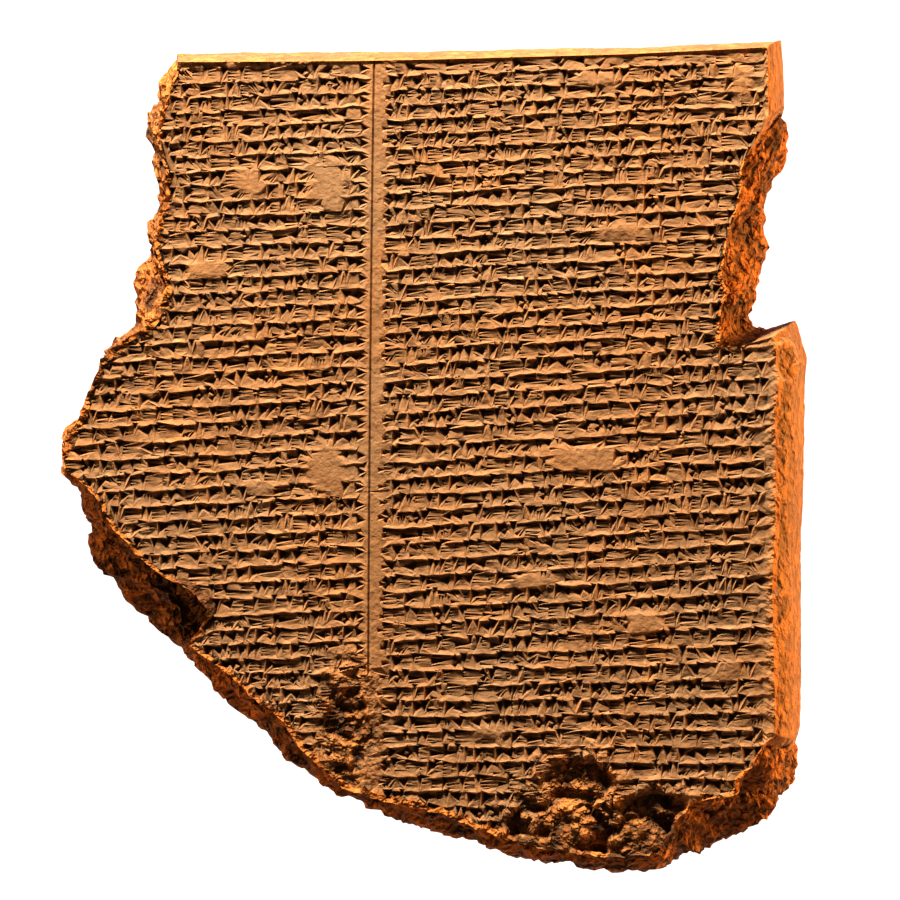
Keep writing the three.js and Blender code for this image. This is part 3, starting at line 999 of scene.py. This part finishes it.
def make_tablet():
    points, triangles, marks, first_back = tablet_mesh()
    middle = (points.min(axis=0) + points.max(axis=0)) / 2
    points = points - np.array([middle[0], middle[1], 0])
    mesh = bpy.data.meshes.new("tablet_clay")
    mesh.from_pydata((points * MM).tolist(), [], triangles.tolist())
    mesh.update()
    mesh.polygons.foreach_set("use_smooth", triangles.max(axis=1) >= first_back)
    for name, values in marks.items():
        attribute = mesh.attributes.new(name, "FLOAT", "POINT")
        attribute.data.foreach_set("value", values)
    tablet = bpy.data.objects.new("tablet_clay", mesh)
    bpy.context.scene.collection.objects.link(tablet)
    return tablet


# ---- material: sizes in metres, colours as linear red, green, blue and alpha ----
CLAY = (0.35, 0.175, 0.085, 1)
GREY_CLAY = (0.33, 0.19, 0.11, 1)
ORANGE_CLAY = (0.48, 0.215, 0.08, 1)
DARK_SPECKS = (0.16, 0.075, 0.035, 1)
BROKEN_DARK = (0.14, 0.053, 0.019, 1)
BROKEN_RED = (0.37, 0.14, 0.04, 1)
BROKEN_CREASE_SHADE = (0.04, 0.016, 0.008, 1)
CRUMB_TOP_HIGHLIGHT = (0.62, 0.27, 0.08, 1)
EDGE_WEAR_AND_RIM_LIGHT = (0.62, 0.2, 0.035, 1)
PIT_DIRT_AND_SHADE = (0.05, 0.021, 0.009, 1)
SOOT = (0.07, 0.035, 0.02, 1)
GRIT = (0.66, 0.42, 0.24, 1)
NOISE_ROUGHNESS = 0.6
SPECULAR = 0.28
FACE_ROUGHNESS = 0.7
BROKEN_ROUGHNESS = 0.9


class Shading:
    """Shader nodes of one material, in the tablet's own metres."""
    def __init__(self, material):
        material.use_nodes = True
        self.nodes = material.node_tree.nodes
        self.links = material.node_tree.links
        self.shader = self.nodes["Principled BSDF"]
        self.place = self.nodes.new("ShaderNodeTexCoord").outputs["Object"]

    def noise(self, size, detail=4.0):
        """Noise from 0 to 1, in lumps of about size metres."""
        node = self.nodes.new("ShaderNodeTexNoise")
        node.inputs["Scale"].default_value = 1 / size
        node.inputs["Detail"].default_value = detail
        node.inputs["Roughness"].default_value = NOISE_ROUGHNESS
        self.links.new(self.place, node.inputs["Vector"])
        return node.outputs["Fac"]

    def cells(self, size):
        """Distance from the middles of cells of about size metres: 0 in a middle, near 1 between cells."""
        node = self.nodes.new("ShaderNodeTexVoronoi")
        node.inputs["Scale"].default_value = 1 / size
        self.links.new(self.place, node.inputs["Vector"])
        return node.outputs["Distance"]

    def ramp(self, value, low, high, from_value=0.0, to_value=1.0):
        """Value stretched from low..high to from_value..to_value, and held at its ends."""
        node = self.nodes.new("ShaderNodeMapRange")
        node.inputs["From Min"].default_value = low
        node.inputs["From Max"].default_value = high
        node.inputs["To Min"].default_value = from_value
        node.inputs["To Max"].default_value = to_value
        self.links.new(value, node.inputs["Value"])
        return node.outputs["Result"]

    def mix(self, share, first, second):
        """A blend of two colours, each a colour or another node's output."""
        node = self.nodes.new("ShaderNodeMix")
        node.data_type = "RGBA"
        self.links.new(share, node.inputs["Factor"])
        for socket, color in ((node.inputs["A"], first), (node.inputs["B"], second)):
            if isinstance(color, tuple):
                socket.default_value = color
            else:
                self.links.new(color, socket)
        return node.outputs["Result"]

    def tint(self, under, color, value, low, high, most):
        """The colour laid over what is under it, from none at low to the share most at high."""
        return self.mix(self.ramp(value, low, high, 0, most), under, color)

    def product(self, first, second):
        node = self.nodes.new("ShaderNodeMath")
        node.operation = "MULTIPLY"
        self.links.new(first, node.inputs[0])
        self.links.new(second, node.inputs[1])
        return node.outputs["Value"]

    def attribute(self, name):
        node = self.nodes.new("ShaderNodeAttribute")
        node.attribute_name = name
        return node.outputs["Fac"]

    def bump(self, height, distance, under=None):
        node = self.nodes.new("ShaderNodeBump")
        node.inputs["Distance"].default_value = distance
        self.links.new(height, node.inputs["Height"])
        if under:
            self.links.new(under, node.inputs["Normal"])
        return node.outputs["Normal"]


def whole_clay(shading):
    """Brown clay with greyer and orange patches and dark specks."""
    color = shading.mix(shading.ramp(shading.noise(size=0.03), low=0.4, high=0.62), CLAY, GREY_CLAY)
    color = shading.tint(color, ORANGE_CLAY, shading.noise(size=0.012), low=0.52, high=0.74, most=0.6)
    specks = shading.noise(size=0.0016, detail=3)
    return shading.tint(color, DARK_SPECKS, specks, low=0.52, high=0.3, most=0.4)


def broken_clay(shading, crumbs, creases):
    """Red-brown clay with painted shade between its crumbs and in its cells' creases, a painted highlight on
    top of the crumbs, and red along the face's edge and on crests that is partly wear and partly painted
    light.
    """
    color = shading.mix(shading.ramp(shading.noise(size=0.009), low=0.38, high=0.62), BROKEN_DARK, BROKEN_RED)
    # Painted shade: the clay is darkened in the hollows between crumbs and in the creases between cells,
    # where the bump sinks.
    color = shading.tint(color, BROKEN_CREASE_SHADE, crumbs, low=0.35, high=0, most=0.75)
    color = shading.tint(color, BROKEN_CREASE_SHADE, creases, low=0.4, high=1, most=0.8)
    # Painted highlight: the tops of the crumbs, where the bump rises, are made paler.
    color = shading.tint(color, CRUMB_TOP_HIGHLIGHT, crumbs, low=0.75, high=1, most=0.4)
    # Partly wear, partly painted highlight: the edge mark turns the face's rim over a broken side, and a
    # broken side's crests, a bright red.
    return shading.tint(color, EDGE_WEAR_AND_RIM_LIGHT, shading.attribute("edge"), low=0, high=1, most=0.8)


def fired_clay():
    material = bpy.data.materials.new("fired_clay")
    shading = Shading(material)
    worn = shading.attribute("worn")
    crumbs = shading.ramp(shading.noise(size=0.003, detail=3), low=0.38, high=0.62)
    creases = shading.ramp(shading.cells(size=0.0021), low=0.3, high=0.75)
    color = shading.mix(worn, whole_clay(shading), broken_clay(shading, crumbs, creases))
    # Painted shade, partly dirt: the pit mark darkens the strokes, the rows' steps, deep scars and a broken
    # side's creases.
    color = shading.tint(color, PIT_DIRT_AND_SHADE, shading.attribute("pit"), low=0.12, high=0.7, most=0.85)
    color = shading.tint(color, SOOT, shading.noise(size=0.0012, detail=2), low=0.62, high=0.76, most=0.5)
    color = shading.tint(color, GRIT, shading.noise(size=0.0017, detail=2), low=0.64, high=0.78, most=0.3)
    roughness = shading.ramp(worn, 0, 1, FACE_ROUGHNESS, BROKEN_ROUGHNESS)
    cell_tops = shading.ramp(creases, 0, 1, 1, 0)
    normal = shading.bump(shading.noise(size=0.0009, detail=3), distance=0.0002)
    normal = shading.bump(shading.noise(size=0.006, detail=3), distance=0.0004, under=normal)
    normal = shading.bump(shading.product(crumbs, worn), distance=0.0009, under=normal)
    normal = shading.bump(shading.product(cell_tops, worn), distance=0.0006, under=normal)
    shading.links.new(color, shading.shader.inputs["Base Color"])
    shading.links.new(roughness, shading.shader.inputs["Roughness"])
    shading.links.new(normal, shading.shader.inputs["Normal"])
    shading.shader.inputs["Specular IOR Level"].default_value = SPECULAR
    return material


# ---- lights, floor and camera, in metres, watts and degrees ----
FLOOR_SIZE = 6
FLOOR_COLOR = (0.9, 0.9, 0.89, 1)
WORLD_COLOR = (1, 0.85, 0.7, 1)
WORLD_STRENGTH = 0.038
# Each light that falls on the tablet: place, size, power, colour.
TABLET_LIGHTS = {
    "key": ((-0.15, 0.87, 0.255), 0.1, 45, (1, 0.79, 0.49)),
    "right_rim": ((0.95, 0.3, 0.06), 0.2, 12, (1, 0.4, 0.07)),
    "right_glow": ((0.95, 0.2, -0.35), 0.2, 22, (1, 0.48, 0.1)),
    "left_rim": ((-1.0, 0.12, 0.07), 0.2, 9, (1, 0.42, 0.1)),
    "foot_rim": ((0.4, -0.95, 0.05), 0.2, 5, (1, 0.4, 0.08)),
}
FLOOR_LIGHT = ((0, 0, 1.6), 1.6, 46, (1, 1, 1))
LENS = 300  # the lens and the sensor are in millimetres
SENSOR_WIDTH = 36
VIEW_WIDTH = 0.1636  # how much the camera sees across, at its target
TARGET = Vector((0.0045, 0.002, 0.022))
LEAN_RIGHT = 9  # how far the camera leans from straight above to the tablet's right
LEAN_UP = 5  # and to its top


def floor():
    bpy.ops.mesh.primitive_plane_add(size=FLOOR_SIZE)
    plane = bpy.context.object
    plane.name = "floor"
    material = bpy.data.materials.new("floor")
    material.use_nodes = True
    material.node_tree.nodes["Principled BSDF"].inputs["Base Color"].default_value = FLOOR_COLOR
    plane.data.materials.append(material)
    plane.visible_diffuse = False
    return plane


def area_light(name, lit, place, size, power, color):
    """A square light aimed at the tablet, which falls on one object alone and is shaded by it alone."""
    data = bpy.data.lights.new(name, "AREA")
    data.size = size
    data.energy = power
    data.color = color
    light = bpy.data.objects.new(name, data)
    light.location = place
    light.rotation_euler = (-Vector(place)).to_track_quat("-Z", "Y").to_euler()
    bpy.context.scene.collection.objects.link(light)
    receivers = bpy.data.collections.new(name + "_lit")
    receivers.objects.link(lit)
    light.light_linking.receiver_collection = receivers
    light.light_linking.blocker_collection = receivers


def lights(tablet, plane):
    world = bpy.data.worlds.new("studio")
    world.use_nodes = True
    background = world.node_tree.nodes["Background"]
    background.inputs["Color"].default_value = WORLD_COLOR
    background.inputs["Strength"].default_value = WORLD_STRENGTH
    bpy.context.scene.world = world
    for name, settings in TABLET_LIGHTS.items():
        area_light(name, tablet, *settings)
    area_light("floor_wash", plane, *FLOOR_LIGHT)


def camera():
    """A long lens above the tablet, with the tablet's top edge up."""
    data = bpy.data.cameras.new("camera")
    data.lens = LENS
    data.sensor_width = SENSOR_WIDTH
    holder = bpy.data.objects.new("camera", data)
    leans = [math.tan(math.radians(lean)) for lean in (LEAN_RIGHT, LEAN_UP)]
    backward = Vector((*leans, 1)).normalized()
    right = Vector((0, 1, 0)).cross(backward).normalized()
    up = backward.cross(right)
    holder.location = TARGET + backward * (LENS / SENSOR_WIDTH * VIEW_WIDTH)
    holder.rotation_euler = Matrix((right, up, backward)).transposed().to_euler()
    bpy.context.scene.collection.objects.link(holder)
    bpy.context.scene.camera = holder


tablet = make_tablet()
tablet.data.materials.append(fired_clay())
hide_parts("tablet")
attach(tablet, "root")
lights(tablet, floor())
bpy.context.scene.view_settings.view_transform = "Standard"
camera()
